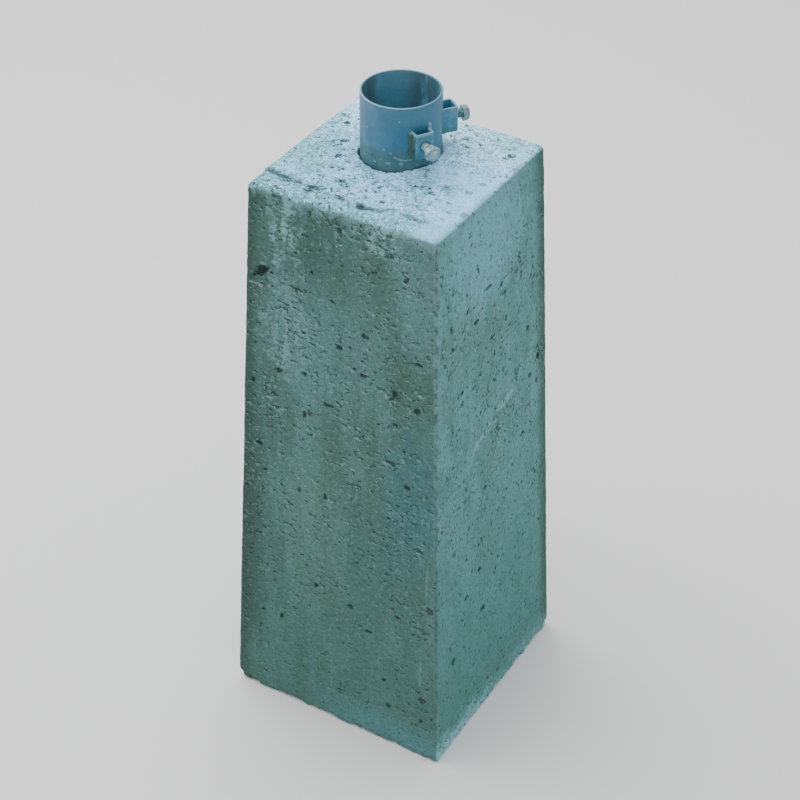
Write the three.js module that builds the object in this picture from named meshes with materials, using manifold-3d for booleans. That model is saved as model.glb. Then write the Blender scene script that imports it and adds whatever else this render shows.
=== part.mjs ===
// Precast concrete foundation block with a steel post sleeve and its two set bolts.
// Millimetres, +Z up, origin at the middle of the underside.

import * as THREE from 'three';
import { mergeVertices } from 'three/addons/utils/BufferGeometryUtils.js';
import Module from 'manifold-3d';

const wasm = await Module();
wasm.setup();
const { degToRad, lerp } = THREE.MathUtils;

// Concrete block: a square pillar, wider at its foot
const BLOCK_HEIGHT = 620;
const FOOT_WIDTH = 250;
const TOP_WIDTH = 200;
const UPRIGHT_ARRIS = 2.6;
const UPRIGHT_WEAR = 0.9;
const UPRIGHT_WEAR_LENGTHS = [295, 520];
const TOP_ARRIS = 4;
const TOP_WEAR = 0.9;
const TOP_WEAR_LENGTHS = [82, 107];
const FOOT_ARRIS = 1.5;

// Trowelled top, and the mortar heaped against the sleeve
const TROWEL_RISE = 0.5;
const TROWEL_LENGTH = 62;
const TROWEL_CROSS_LENGTH = 36;
const MORTAR_RISE = 4;
const MORTAR_SPREAD = 9;
const MORTAR_FACING = -8;
const MORTAR_LUMPS = 9;
const MORTAR_LUMP_SHARE = 0.25;

// Post sleeve: a pipe cast into the block
const SLEEVE_OUTER = 76.3;
const SLEEVE_WALL = 2.2;
const SLEEVE_STANDS = 65;
const SLEEVE_BURIED = 300;
const SLEEVE_X = -7.8;
const SLEEVE_Y = 17.9;
const RIM_ROUND = 0.5;
const SOCKET_FLOOR = 10;

// Brackets: flat bar bent to a U and welded to the sleeve by its two legs
const BAR_WIDTH = 25;
const BAR_THICK = 2.3;
const BRACKET_WIDTH = 19;
const BEND_INSIDE = 0.9;
const BOLT_HOLE = 9;
const WELD_RADIUS = 1.9;

// Set bolts, M8 by 25
const BOLT_DIAMETER = 8;
const BOLT_LENGTH = 25;
const BOLT_TIP = 0.9;
const HEAD_FLATS = 13;
const HEAD_THICK = 6;
const HEAD_CHAMFER = 0.9;

// Where each bracket and bolt sits round the sleeve: the way it faces, its bolt's height over the concrete,
// how far its plate and its bolt's end stand from the sleeve's axis, and how far a weld runs up past the bar
const FIXINGS = [
  { name: 'front', facing: -32, height: 29.5, plate: 48, boltEnd: 65.2, headTurn: 30, weldRunUp: 6 },
  { name: 'right', facing: 53, height: 28, plate: 54, boltEnd: 66.6, headTurn: 0, weldRunUp: 0 },
];

// Play left between pieces that touch
const GAP = 0.3;

// Chips along the foot: the way each side faces, and how many it has lost
const FOOT_CHIPS = [
  { facing: -90, count: 9 },
  { facing: 0, count: 9 },
  { facing: 90, count: 4 },
  { facing: 180, count: 4 },
];
const CHIP_LENGTH = [7, 17];
const CHIP_DEPTH = [4, 8];
const CHIP_HEIGHT = [4, 9];
const CHIP_SPACING = [0.15, 0.85];
const CHIP_SEED = 4217;

// Larger breaks, each by its middle and its full size
const BREAKS = [
  { at: [-125, -125, 0], size: [15, 15, 22], turn: 45 },
  { at: [-104, -126, 0], size: [17, 10, 9], turn: 4 },
  { at: [-57, -126, 0], size: [14, 9, 10], turn: 6 },
  { at: [127, 10, 0], size: [9, 18, 12], turn: 0 },
  { at: [126, 93, 0], size: [10, 18, 14], turn: 4 },
  { at: [126, 120, 0], size: [12, 16, 17], turn: 30 },
  { at: [-86, -103.6, 528], size: [13, 8, 17], turn: 3 },
  { at: [101, 101, 621], size: [14, 14, 7], turn: 45 },
  { at: [-101, 101, 621], size: [12, 12, 8], turn: 45 },
];

// Mesh fineness
const CORNER_STEPS = 4;
const SIDE_STEPS = 16;
const RING_POINTS = 4 * (CORNER_STEPS + SIDE_STEPS);
const SIDE_RINGS = 12;
const ARRIS_RINGS = 4;
const TOP_RINGS = 9;
const BOLT_SIDES = 24;
const WELD_SIDES = 10;

const CONCRETE = { color: 0x7f9fa2, roughness: 0.95, metalness: 0 };
const BLUE_PAINT = { color: 0x4a7f97, roughness: 0.45, metalness: 0.1 };
const BLUE_PAINT_BAR = { color: 0x487a8c, roughness: 0.5, metalness: 0.1 };
const ZINC = { color: 0xb4c0c2, roughness: 0.35, metalness: 0.85 };

const sleeveRadius = SLEEVE_OUTER / 2;
const boreRadius = sleeveRadius - SLEEVE_WALL;
const socketRadius = sleeveRadius + GAP;

// Solids and booleans

function solidOf(geometry) {
  const bare = geometry.clone();
  bare.deleteAttribute('normal');
  bare.deleteAttribute('uv');
  const merged = mergeVertices(bare);
  const corners = [];
  for (let first = 0; first < merged.index.count; first += 3) {
    const triangle = [0, 1, 2].map((step) => merged.index.getX(first + step));
    if (new Set(triangle).size === 3) {
      corners.push(...triangle);
    }
  }
  const vertProperties = new Float32Array(merged.attributes.position.array);
  const triVerts = new Uint32Array(corners);
  return new wasm.Manifold(new wasm.Mesh({ numProp: 3, vertProperties, triVerts }));
}

function geometryOf(solid) {
  const mesh = solid.getMesh();
  const geometry = new THREE.BufferGeometry();
  geometry.setAttribute('position', new THREE.BufferAttribute(mesh.vertProperties, 3));
  geometry.setIndex(new THREE.BufferAttribute(mesh.triVerts, 1));
  geometry.computeVertexNormals();
  return geometry;
}

function namedMesh(name, geometry, finish) {
  const mesh = new THREE.Mesh(geometry, new THREE.MeshStandardMaterial(finish));
  mesh.name = name;
  return mesh;
}

// Repeatable numbers between two limits
function seededRandom(seed) {
  const modulus = 2 ** 31 - 1;
  const multiplier = 7 ** 5;
  let state = seed;
  return (low, high) => {
    state = (state * multiplier) % modulus;
    return lerp(low, high, state / modulus);
  };
}

// Concrete block

function halfWidthAt(z) {
  return lerp(FOOT_WIDTH, TOP_WIDTH, z / BLOCK_HEIGHT) / 2;
}

function wave(distance, length, shift) {
  return Math.sin(2 * Math.PI * distance / length + shift);
}

// The cast arrises are knocked about, each corner in its own way
function uprightRadius(corner, z) {
  const [short, long] = UPRIGHT_WEAR_LENGTHS;
  return UPRIGHT_ARRIS + UPRIGHT_WEAR * wave(z, short, 2 * corner) * wave(z, long, corner);
}

function topArrisRadius(x, y) {
  const [along, across] = TOP_WEAR_LENGTHS;
  return TOP_ARRIS + TOP_WEAR * wave(x, along, 1) * wave(y, across, Math.PI / 2);
}

// Rise of the trowelled top over its nominal level
function topRise(x, y) {
  const strokes = wave(x, TROWEL_LENGTH, 1) * wave(y, TROWEL_LENGTH, 0);
  const trowel = strokes + wave(x - y, TROWEL_CROSS_LENGTH, 0) / 2;
  const angle = Math.atan2(y - SLEEVE_Y, x - SLEEVE_X);
  const clear = Math.hypot(x - SLEEVE_X, y - SLEEVE_Y) - sleeveRadius;
  const heap = Math.max(0, Math.cos(angle - degToRad(MORTAR_FACING))) ** 2;
  const lumps = 1 + MORTAR_LUMP_SHARE * Math.sin(MORTAR_LUMPS * angle);
  const mortar = MORTAR_RISE * heap * lumps * Math.exp(-((clear / MORTAR_SPREAD) ** 2));
  return TROWEL_RISE * trowel + mortar;
}

// One level of the pillar: a square with rounded corners, counter-clockwise from the +X +Y corner
function squareRing(half, z) {
  const ring = [];
  for (let corner = 0; corner < 4; corner += 1) {
    const radius = uprightRadius(corner, z);
    const turn = corner * Math.PI / 2;
    const middle = new THREE.Vector2(half - radius, half - radius);
    middle.rotateAround(new THREE.Vector2(), turn);
    for (let step = 0; step <= CORNER_STEPS; step += 1) {
      const angle = turn + step / CORNER_STEPS * Math.PI / 2;
      const spoke = new THREE.Vector2(Math.cos(angle), Math.sin(angle)).multiplyScalar(radius);
      ring.push(new THREE.Vector3(middle.x + spoke.x, middle.y + spoke.y, z));
    }
    const nextRadius = uprightRadius((corner + 1) % 4, z);
    const sideEnd = new THREE.Vector2(half, half - nextRadius);
    sideEnd.rotateAround(new THREE.Vector2(), turn + Math.PI / 2);
    const sideStart = ring.at(-1).clone();
    const sideStop = new THREE.Vector3(sideEnd.x, sideEnd.y, z);
    for (let step = 1; step < SIDE_STEPS; step += 1) {
      ring.push(new THREE.Vector3().lerpVectors(sideStart, sideStop, step / SIDE_STEPS));
    }
  }
  return ring;
}

// A circle round the sleeve's axis, its points in step with those of the square
function roundRing(radius, z) {
  return Array.from({ length: RING_POINTS }, (_, index) => {
    const angle = Math.PI / 4 + (index - CORNER_STEPS / 2) / RING_POINTS * 2 * Math.PI;
    return new THREE.Vector3(SLEEVE_X + radius * Math.cos(angle), SLEEVE_Y + radius * Math.sin(angle), z);
  });
}

// Closed skin through a stack of rings, with a point in the middle of each end
function loftRings(rings, firstMiddle, lastMiddle) {
  const points = [...rings.flat(), firstMiddle, lastMiddle];
  const first = points.length - 2;
  const last = points.length - 1;
  const lastRing = (rings.length - 1) * RING_POINTS;
  const corners = [];
  for (let index = 0; index < RING_POINTS; index += 1) {
    const next = (index + 1) % RING_POINTS;
    corners.push(first, next, index);
    for (let level = 0; level < lastRing; level += RING_POINTS) {
      const above = level + RING_POINTS;
      corners.push(level + index, level + next, above + next);
      corners.push(level + index, above + next, above + index);
    }
    corners.push(lastRing + index, lastRing + next, last);
  }
  const geometry = new THREE.BufferGeometry().setFromPoints(points);
  geometry.setIndex(corners);
  return geometry;
}

function footRings() {
  return Array.from({ length: ARRIS_RINGS }, (_, step) => {
    const angle = step / ARRIS_RINGS * Math.PI / 2;
    const z = FOOT_ARRIS * (1 - Math.cos(angle));
    return squareRing(halfWidthAt(z) - FOOT_ARRIS * (1 - Math.sin(angle)), z);
  });
}

function sideRings() {
  const lowest = FOOT_ARRIS;
  const highest = BLOCK_HEIGHT - TOP_ARRIS - TOP_WEAR;
  return Array.from({ length: SIDE_RINGS }, (_, step) => {
    const z = lerp(lowest, highest, step / (SIDE_RINGS - 1));
    return squareRing(halfWidthAt(z), z);
  });
}

function topArrisRings() {
  return Array.from({ length: ARRIS_RINGS }, (_, step) => {
    const angle = (step + 1) / ARRIS_RINGS * Math.PI / 2;
    const edge = squareRing(TOP_WIDTH / 2, BLOCK_HEIGHT);
    return edge.map((point) => {
      const radius = topArrisRadius(point.x, point.y);
      const inset = 1 - radius * (1 - Math.cos(angle)) / (TOP_WIDTH / 2);
      const x = point.x * inset;
      const y = point.y * inset;
      const z = BLOCK_HEIGHT - radius * (1 - Math.sin(angle)) + topRise(x, y) * Math.sin(angle);
      return new THREE.Vector3(x, y, z);
    });
  });
}

// The top runs from the square arris in to the round mouth of the socket
function topRings(edge) {
  const mouth = roundRing(socketRadius, BLOCK_HEIGHT);
  return Array.from({ length: TOP_RINGS }, (_, step) => {
    const share = (step + 1) / TOP_RINGS;
    return edge.map((point, index) => {
      const x = lerp(point.x, mouth[index].x, share);
      const y = lerp(point.y, mouth[index].y, share);
      return new THREE.Vector3(x, y, BLOCK_HEIGHT + topRise(x, y));
    });
  });
}

function chipSolid(at, size, turn) {
  const chip = new THREE.IcosahedronGeometry(0.5, 1);
  chip.scale(...size);
  chip.rotateZ(degToRad(turn));
  chip.translate(...at);
  return solidOf(chip);
}

function footChips() {
  const random = seededRandom(CHIP_SEED);
  const chips = [];
  for (const { facing, count } of FOOT_CHIPS) {
    for (let index = 0; index < count; index += 1) {
      const along = ((index + random(...CHIP_SPACING)) / count - 0.5) * (FOOT_WIDTH - 2 * CHIP_LENGTH[1]);
      const size = [random(...CHIP_DEPTH), random(...CHIP_LENGTH), random(...CHIP_HEIGHT)];
      const edge = new THREE.Vector3(FOOT_WIDTH / 2, along, 0);
      edge.applyAxisAngle(new THREE.Vector3(0, 0, 1), degToRad(facing));
      chips.push(chipSolid(edge.toArray(), size, facing));
    }
  }
  return chips;
}

function concreteBlock() {
  const socketBottom = BLOCK_HEIGHT - SLEEVE_BURIED - GAP;
  const floorLevel = BLOCK_HEIGHT - SLEEVE_BURIED + SOCKET_FLOOR;
  const arris = topArrisRings();
  const rings = [
    ...footRings(),
    ...sideRings(),
    ...arris,
    ...topRings(arris.at(-1)),
    roundRing(socketRadius, socketBottom),
    roundRing(boreRadius - GAP, socketBottom),
    roundRing(boreRadius - GAP, floorLevel),
  ];
  const underside = new THREE.Vector3(0, 0, 0);
  const floorMiddle = new THREE.Vector3(SLEEVE_X, SLEEVE_Y, floorLevel);
  let solid = solidOf(loftRings(rings, underside, floorMiddle));
  for (const chip of [...footChips(), ...BREAKS.map(({ at, size, turn }) => chipSolid(at, size, turn))]) {
    solid = solid.subtract(chip);
  }
  return geometryOf(solid);
}

// Sleeve, measured from the concrete's nominal top

function pipe(inner, outer, low, high, round) {
  const profile = [
    [inner, low],
    [outer, low],
    [outer, high - round],
    [outer - round, high],
    [inner + round, high],
    [inner, high - round],
    [inner, low],
  ];
  const geometry = new THREE.LatheGeometry(profile.map(([r, z]) => new THREE.Vector2(r, z)), RING_POINTS);
  return geometry.rotateX(Math.PI / 2);
}

// A bar lying along +X, for holes
function crossBar(radius, from, to, height) {
  const bar = new THREE.CylinderGeometry(radius, radius, to - from, BOLT_SIDES);
  bar.rotateZ(-Math.PI / 2);
  return bar.translate((from + to) / 2, 0, height);
}

function postSleeve() {
  let solid = solidOf(pipe(boreRadius, sleeveRadius, -SLEEVE_BURIED, SLEEVE_STANDS, RIM_ROUND));
  for (const { facing, height } of FIXINGS) {
    const hole = crossBar(BOLT_HOLE / 2, boreRadius / 2, SLEEVE_OUTER, height);
    solid = solid.subtract(solidOf(hole.rotateZ(degToRad(facing))));
  }
  return geometryOf(solid);
}

// Bracket, with +X pointing out from the sleeve's axis

function bracketOutline(plate) {
  const half = BRACKET_WIDTH / 2;
  const inside = half - BAR_THICK;
  const bendOutside = BEND_INSIDE + BAR_THICK;
  const back = plate - BAR_THICK;
  const legEnd = (side) => Math.sqrt(socketRadius ** 2 - side ** 2);
  const quarter = Math.PI / 2;
  const outline = new THREE.Shape();
  outline.moveTo(legEnd(half), -half);
  outline.lineTo(plate - bendOutside, -half);
  outline.absarc(plate - bendOutside, -half + bendOutside, bendOutside, -quarter, 0);
  outline.absarc(plate - bendOutside, half - bendOutside, bendOutside, 0, quarter);
  outline.lineTo(legEnd(half), half);
  outline.lineTo(legEnd(inside), inside);
  outline.absarc(back - BEND_INSIDE, inside - BEND_INSIDE, BEND_INSIDE, quarter, 0, true);
  outline.absarc(back - BEND_INSIDE, -inside + BEND_INSIDE, BEND_INSIDE, 0, -quarter, true);
  outline.lineTo(legEnd(inside), -inside);
  outline.closePath();
  return outline;
}

// A weld run up the outside of one leg, in the corner against the sleeve
function weldBead(side, runUp) {
  const half = BRACKET_WIDTH / 2;
  const length = BAR_WIDTH - 2 * WELD_RADIUS + runUp;
  const bead = new THREE.CylinderGeometry(WELD_RADIUS, WELD_RADIUS, length, WELD_SIDES);
  bead.rotateX(Math.PI / 2);
  return bead.translate(Math.sqrt(socketRadius ** 2 - half ** 2), side * (half + GAP), runUp / 2);
}

function boltBracket({ plate, weldRunUp }) {
  const bar = new THREE.ExtrudeGeometry(bracketOutline(plate), {
    depth: BAR_WIDTH,
    bevelEnabled: false,
    curveSegments: 5,
  });
  bar.translate(0, 0, -BAR_WIDTH / 2);
  const sleeveRoom = new THREE.CylinderGeometry(socketRadius, socketRadius, 3 * BAR_WIDTH, RING_POINTS);
  const solid = solidOf(bar)
    .add(solidOf(weldBead(1, weldRunUp)))
    .add(solidOf(weldBead(-1, 0)))
    .subtract(solidOf(crossBar(BOLT_HOLE / 2, sleeveRadius, SLEEVE_OUTER, 0)))
    .subtract(solidOf(sleeveRoom.rotateX(Math.PI / 2)));
  return geometryOf(solid);
}

// Bolt, with its end face at the origin and its shank towards -X

function setBolt(headTurn) {
  const shankRadius = BOLT_DIAMETER / 2;
  const headCorner = HEAD_FLATS / Math.sqrt(3);
  const tipAt = -HEAD_THICK - BOLT_LENGTH;
  const turned = [
    [0, tipAt],
    [shankRadius - BOLT_TIP, tipAt],
    [shankRadius, tipAt + BOLT_TIP],
    [shankRadius, -HEAD_THICK],
    [headCorner, -HEAD_THICK],
    [headCorner, -HEAD_CHAMFER],
    [HEAD_FLATS / 2 - GAP, 0],
    [0, 0],
  ];
  const round = new THREE.LatheGeometry(turned.map(([r, x]) => new THREE.Vector2(r, x)), BOLT_SIDES);
  const flats = new THREE.CylinderGeometry(headCorner, headCorner, 3 * BOLT_LENGTH, 6);
  flats.rotateY(degToRad(headTurn));
  return geometryOf(solidOf(round).intersect(solidOf(flats))).rotateZ(-Math.PI / 2);
}

// Assembly

const foundation = new THREE.Group();
foundation.add(namedMesh('concrete_block', concreteBlock(), CONCRETE));

const sleeveGroup = new THREE.Group();
sleeveGroup.position.set(SLEEVE_X, SLEEVE_Y, BLOCK_HEIGHT);
sleeveGroup.add(namedMesh('post_sleeve', postSleeve(), BLUE_PAINT));
foundation.add(sleeveGroup);

for (const fixing of FIXINGS) {
  const side = new THREE.Group();
  side.rotation.z = degToRad(fixing.facing);
  side.position.z = fixing.height;
  const bolt = namedMesh(`set_bolt_${fixing.name}`, setBolt(fixing.headTurn), ZINC);
  bolt.position.x = fixing.boltEnd;
  side.add(namedMesh(`bolt_bracket_${fixing.name}`, boltBracket(fixing), BLUE_PAINT_BAR), bolt);
  sleeveGroup.add(side);
}

export default foundation;
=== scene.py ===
import math
import random

import bpy
from mathutils import Matrix, Vector


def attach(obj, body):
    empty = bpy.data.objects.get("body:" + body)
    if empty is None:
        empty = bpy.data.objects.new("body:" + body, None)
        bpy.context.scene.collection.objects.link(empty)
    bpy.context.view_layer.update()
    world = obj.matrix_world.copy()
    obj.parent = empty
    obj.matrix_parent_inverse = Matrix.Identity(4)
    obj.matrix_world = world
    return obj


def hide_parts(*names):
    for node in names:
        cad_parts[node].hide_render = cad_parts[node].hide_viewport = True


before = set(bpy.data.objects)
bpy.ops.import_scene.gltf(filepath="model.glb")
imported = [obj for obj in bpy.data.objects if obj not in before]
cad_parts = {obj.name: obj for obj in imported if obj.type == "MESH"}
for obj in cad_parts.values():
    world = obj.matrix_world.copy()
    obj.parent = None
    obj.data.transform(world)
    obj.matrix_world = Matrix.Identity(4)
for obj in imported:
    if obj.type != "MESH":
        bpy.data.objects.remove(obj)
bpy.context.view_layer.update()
bpy.ops.object.select_all(action="DESELECT")

# Lengths are in millimetres. A piece is made in metres, so each length is multiplied by MM on its
# way in, and a finish or relief multiplies the place it reads by METRE.
MM = 0.001
METRE = 1000.0

# The casting and the sleeve, as the part's own solids have them
TOP_AT = 620.0
HALF_FOOT = 125.0
HALF_TOP = 100.0
SLEEVE_X, SLEEVE_Y = -7.8, 17.9
SLEEVE_RADIUS = 38.15
SLEEVE_WALL = 2.2
SLEEVE_LOW, SLEEVE_HIGH = 320.0, 685.0
SOCKET_RADIUS = 38.45
ROUND_SIDES = 144

# Lays along X what is added standing upright
ALONG_X = (0.0, math.pi / 2.0, 0.0)

# The brackets and bolts, seen from the sleeve's axis: X runs outwards and Z up
BAR_WIDTH = 25.0
BAR_THICK = 2.3
BRACKET_WIDTH = 19.0
BEND_MIDDLE = 2.05
BOLT_HOLE = 9.0
WELD_RADIUS = 1.9
BOLT_LENGTH = 25.0
BOLT_RADIUS = 4.0
BOLT_TIP = 0.9
THREAD_PITCH = 1.25
THREAD_DEPTH = 0.62
HEAD_FLATS = 13.0
HEAD_THICK = 6.0
FIXINGS = {
    "front": {
        "facing": -32.0, "height": 649.5, "plate": 48.0,
        "bolt_end": 65.2, "turn": 30.0, "run_up": 6.0,
    },
    "right": {
        "facing": 53.0, "height": 648.0, "plate": 54.0,
        "bolt_end": 66.6, "turn": 0.0, "run_up": 0.0,
    },
}

# The camera, from the photograph's own perspective
VIEW_YAW = 30.83
VIEW_PITCH = 37.12
VIEW_ROLL = 0.35
VIEW_DISTANCE = 1989.73
VIEW_ASIDE = 3.0
VIEW_HEIGHT = 344.85
LENS = 89.117
SENSOR = 36.0

# The studio, in metres and watts
FLOOR_WIDTH = 14.0
FLOOR_UNDER = 0.0002
SKY_STRENGTH = 0.75
LAMP_AT = (-0.9, 0.2, 2.9)
LAMP_AIM = (0.0, 0.0, 0.5)
LAMP_WIDTH = 3.6
LAMP_POWER = 104.0

# The casting's mesh: its grid, the triangles it keeps, and in metres how near points are merged
CASTING_GRID = 1.6
CASTING_TRIANGLES = 194000
MERGE_WITHIN = 0.00002

# The larger hollows: middle across, middle height (on the top, middle back) and the reach either way
FRONT_HOLLOWS = [
    (65.0, 52.0, 3.6, 3.2), (58.0, 85.0, 3.4, 3.0), (38.0, 141.0, 5.0, 2.4),
    (-67.0, 113.0, 2.8, 4.6), (-24.0, 174.0, 3.4, 3.8), (-45.0, 288.0, 2.6, 4.2),
    (-14.0, 292.0, 3.0, 3.8), (-85.0, 297.0, 2.6, 3.0), (-38.0, 383.0, 3.4, 5.4),
    (-98.0, 402.0, 4.2, 3.6), (-68.0, 423.0, 6.0, 4.0), (27.0, 452.0, 6.2, 3.0),
    (62.0, 445.0, 4.6, 3.4), (86.0, 434.0, 5.0, 4.2), (-38.0, 430.0, 4.2, 3.4),
    (62.0, 410.0, 4.0, 3.0), (-12.0, 404.0, 8.0, 2.6), (0.0, 474.0, 5.0, 2.8),
    (-30.0, 545.0, 2.6, 2.8), (85.0, 486.0, 5.6, 2.4), (-92.0, 328.0, 5.4, 2.8),
    (28.0, 496.0, 5.0, 3.4), (78.0, 342.0, 4.0, 3.2), (72.0, 176.0, 3.4, 2.8),
]
RIGHT_HOLLOWS = [
    (-78.0, 515.0, 3.2, 5.4), (-32.0, 497.0, 6.0, 2.8), (23.0, 500.0, 4.4, 3.8),
    (69.0, 431.0, 3.6, 3.6), (93.0, 384.0, 4.2, 5.4), (75.0, 371.0, 3.6, 3.8),
    (60.0, 308.0, 5.4, 3.2), (-17.0, 292.0, 4.4, 3.4), (-57.0, 177.0, 5.6, 3.6),
    (-31.0, 195.0, 5.0, 4.2), (-25.0, 138.0, 6.0, 4.6), (-86.0, 113.0, 6.4, 4.6),
    (-8.0, 522.0, 6.0, 2.4), (-60.0, 422.0, 3.2, 2.8), (88.0, 240.0, 3.6, 4.0),
]
TOP_HOLLOWS = [
    (-63.0, 7.0, 5.0, 3.4), (86.0, 5.0, 5.0, 4.0), (55.0, -32.0, 5.2, 3.6),
    (84.0, 64.0, 5.4, 4.6), (12.0, -84.0, 7.0, 4.4), (84.0, -52.0, 5.0, 3.0),
    (76.0, -38.0, 4.0, 2.4), (-26.0, -54.0, 6.0, 3.0), (-47.0, -40.0, 3.0, 2.4),
    (-80.0, 38.0, 4.4, 4.0), (24.0, -68.0, 3.6, 3.4), (-72.0, -80.0, 7.0, 2.6),
    (-46.0, -83.0, 9.0, 2.6), (60.0, -14.0, 4.0, 3.0), (82.0, -14.0, 6.0, 4.2),
]

# How far under a hollow's edge its lit lip lies
LIP_DROP = 1.7

# Single spots of the front face, given in the same way
RUST_SPOTS = [(109.2, 201.4, 5.6, 6.4), (104.0, 78.6, 5.8, 6.0), (-32.0, 386.0, 4.0, 5.0)]
LIME_FLAKE = [(-84.0, 536.5, 5.0, 2.6)]

# The scrapes on the front and right faces, by their two ends
FRONT_SCRAPE = (-100.0, 512.8), (-75.1, 514.7)
RIGHT_SCRAPE = (-40.5, 352.1), (38.7, 378.0)
FOOT_SCRAPE = (88.0, 9.0), (114.0, 12.0)

# The cement drops on the sleeve: angle round it, height over the concrete and the reach either way
CEMENT_DROPS = [
    (-83.0, 21.2, 1.5, 1.7), (-73.5, 18.9, 1.4, 1.3), (-97.5, 6.4, 1.9, 1.1),
    (-77.1, 7.8, 2.5, 1.8), (-59.0, 8.6, 2.1, 1.9), (-67.3, 14.6, 1.7, 0.9),
    (-62.4, 13.2, 2.3, 0.9), (-57.6, 12.3, 2.4, 1.0), (-52.0, 12.0, 2.3, 0.8),
    (-46.6, 12.3, 1.8, 0.8), (-112.7, 37.8, 1.7, 0.9), (-61.6, 51.9, 1.1, 1.2),
    (-104.0, 14.0, 0.9, 0.8), (-88.0, 10.5, 0.9, 1.0), (-118.0, 8.0, 1.1, 0.9),
    (-36.0, 6.0, 1.6, 1.2), (110.0, 9.0, 1.8, 1.3), (150.0, 16.0, 1.3, 1.1),
    (-160.0, 7.0, 2.0, 1.4),
]
DROP_THICK = 0.42

# What the colours of each face are multiplied by, to keep their cast in the studio light; the right face
# is also made paler than the front as painted light
FRONT_CAST = (0.87, 0.99, 0.97)
RIGHT_CAST_AND_PAINTED_LIGHT = (0.95, 1.13, 1.14)
TOP_CAST = (0.77, 1.22, 1.52)


class Value:
    """A socket of a node tree. Arithmetic on it adds Math nodes, and node() adds any other node."""

    def __init__(self, tree, socket=None):
        self.tree = tree
        self.socket = socket

    def node(self, kind, settings=None, inputs=None, output=0):
        added = self.tree.nodes.new(kind)
        for name, setting in (settings or {}).items():
            setattr(added, name, setting)
        for name, given in (inputs or {}).items():
            if isinstance(given, Value):
                self.tree.links.new(given.socket, added.inputs[name])
            else:
                added.inputs[name].default_value = given
        return Value(self.tree, added.outputs[output] if added.outputs else None)

    def output(self, name):
        return Value(self.tree, self.socket.node.outputs[name])

    def math(self, operation, *operands):
        return self.node("ShaderNodeMath", {"operation": operation}, dict(enumerate(operands)))

    def __add__(self, other):
        return self.math("ADD", self, other)

    def __radd__(self, other):
        return self.math("ADD", other, self)

    def __sub__(self, other):
        return self.math("SUBTRACT", self, other)

    def __rsub__(self, other):
        return self.math("SUBTRACT", other, self)

    def __mul__(self, other):
        return self.math("MULTIPLY", self, other)

    def __rmul__(self, other):
        return self.math("MULTIPLY", other, self)

    def __truediv__(self, other):
        return self.math("DIVIDE", self, other)

    def __neg__(self):
        return self.math("MULTIPLY", self, -1.0)

    def __abs__(self):
        return self.math("ABSOLUTE", self)

    def root(self):
        return self.math("SQRT", self)

    def least(self, other):
        return self.math("MINIMUM", self, other)

    def most(self, other):
        return self.math("MAXIMUM", self, other)

    def rise(self, low, high):
        """0 up to low and 1 from high on, eased in between."""
        return self.node(
            "ShaderNodeMapRange",
            {"interpolation_type": "SMOOTHSTEP"},
            {"Value": self, "From Min": low, "From Max": high},
        )

    def near(self, middle, reach):
        """1 at middle, easing to 0 at reach on either side."""
        return 1.0 - abs(self - middle).rise(0.0, reach)

    def tint(self, low, high):
        """The colour that goes from low to high as this goes from 0 to 1."""
        return self.node("ShaderNodeMix", {"data_type": "RGBA"}, {0: self, 6: low, 7: high}, 2)

    def lighten(self, colour):
        """The colour multiplied by this."""
        return self.node("ShaderNodeVectorMath", {"operation": "SCALE"}, {0: colour, 3: self})

    def vector(self, operation, other):
        return self.node("ShaderNodeVectorMath", {"operation": operation}, {0: self, 1: other})

    def scaled(self, factor):
        return self.node("ShaderNodeVectorMath", {"operation": "SCALE"}, {0: self, 3: factor})

    def axes(self):
        parts = self.node("ShaderNodeSeparateXYZ", {}, {0: self})
        return parts, parts.output("Y"), parts.output("Z")

    def cloud(self, length, detail=2.0, roughness=0.5):
        """Noise about 0.5 whose lumps are length apart."""
        return self.node(
            "ShaderNodeTexNoise",
            {},
            {"Vector": self, "Scale": 1.0 / length, "Detail": detail, "Roughness": roughness},
        )

    def bubbles(self, spacing, largest):
        """Depth of the nearest of many round holes of all sizes, 0 outside them."""
        cell = self.node("ShaderNodeTexVoronoi", {}, {"Vector": self, "Scale": 1.0 / spacing})
        chance = cell.output("Color").axes()[0]
        radius = largest * (0.4 + 0.6 * chance)
        return (radius - cell * spacing).most(0.0)


def shade(red, green, blue):
    """A colour given in a screen's 0 to 255, as the linear one that a shader takes."""
    def linear(part):
        part /= 255.0
        return part / 12.92 if part <= 0.04045 else ((part + 0.055) / 1.055) ** 2.4
    return (linear(red), linear(green), linear(blue), 1.0)


# The concrete's relief and its colours read the same masks, so a hole is painted dark, as shade, where
# it is deep.

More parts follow.
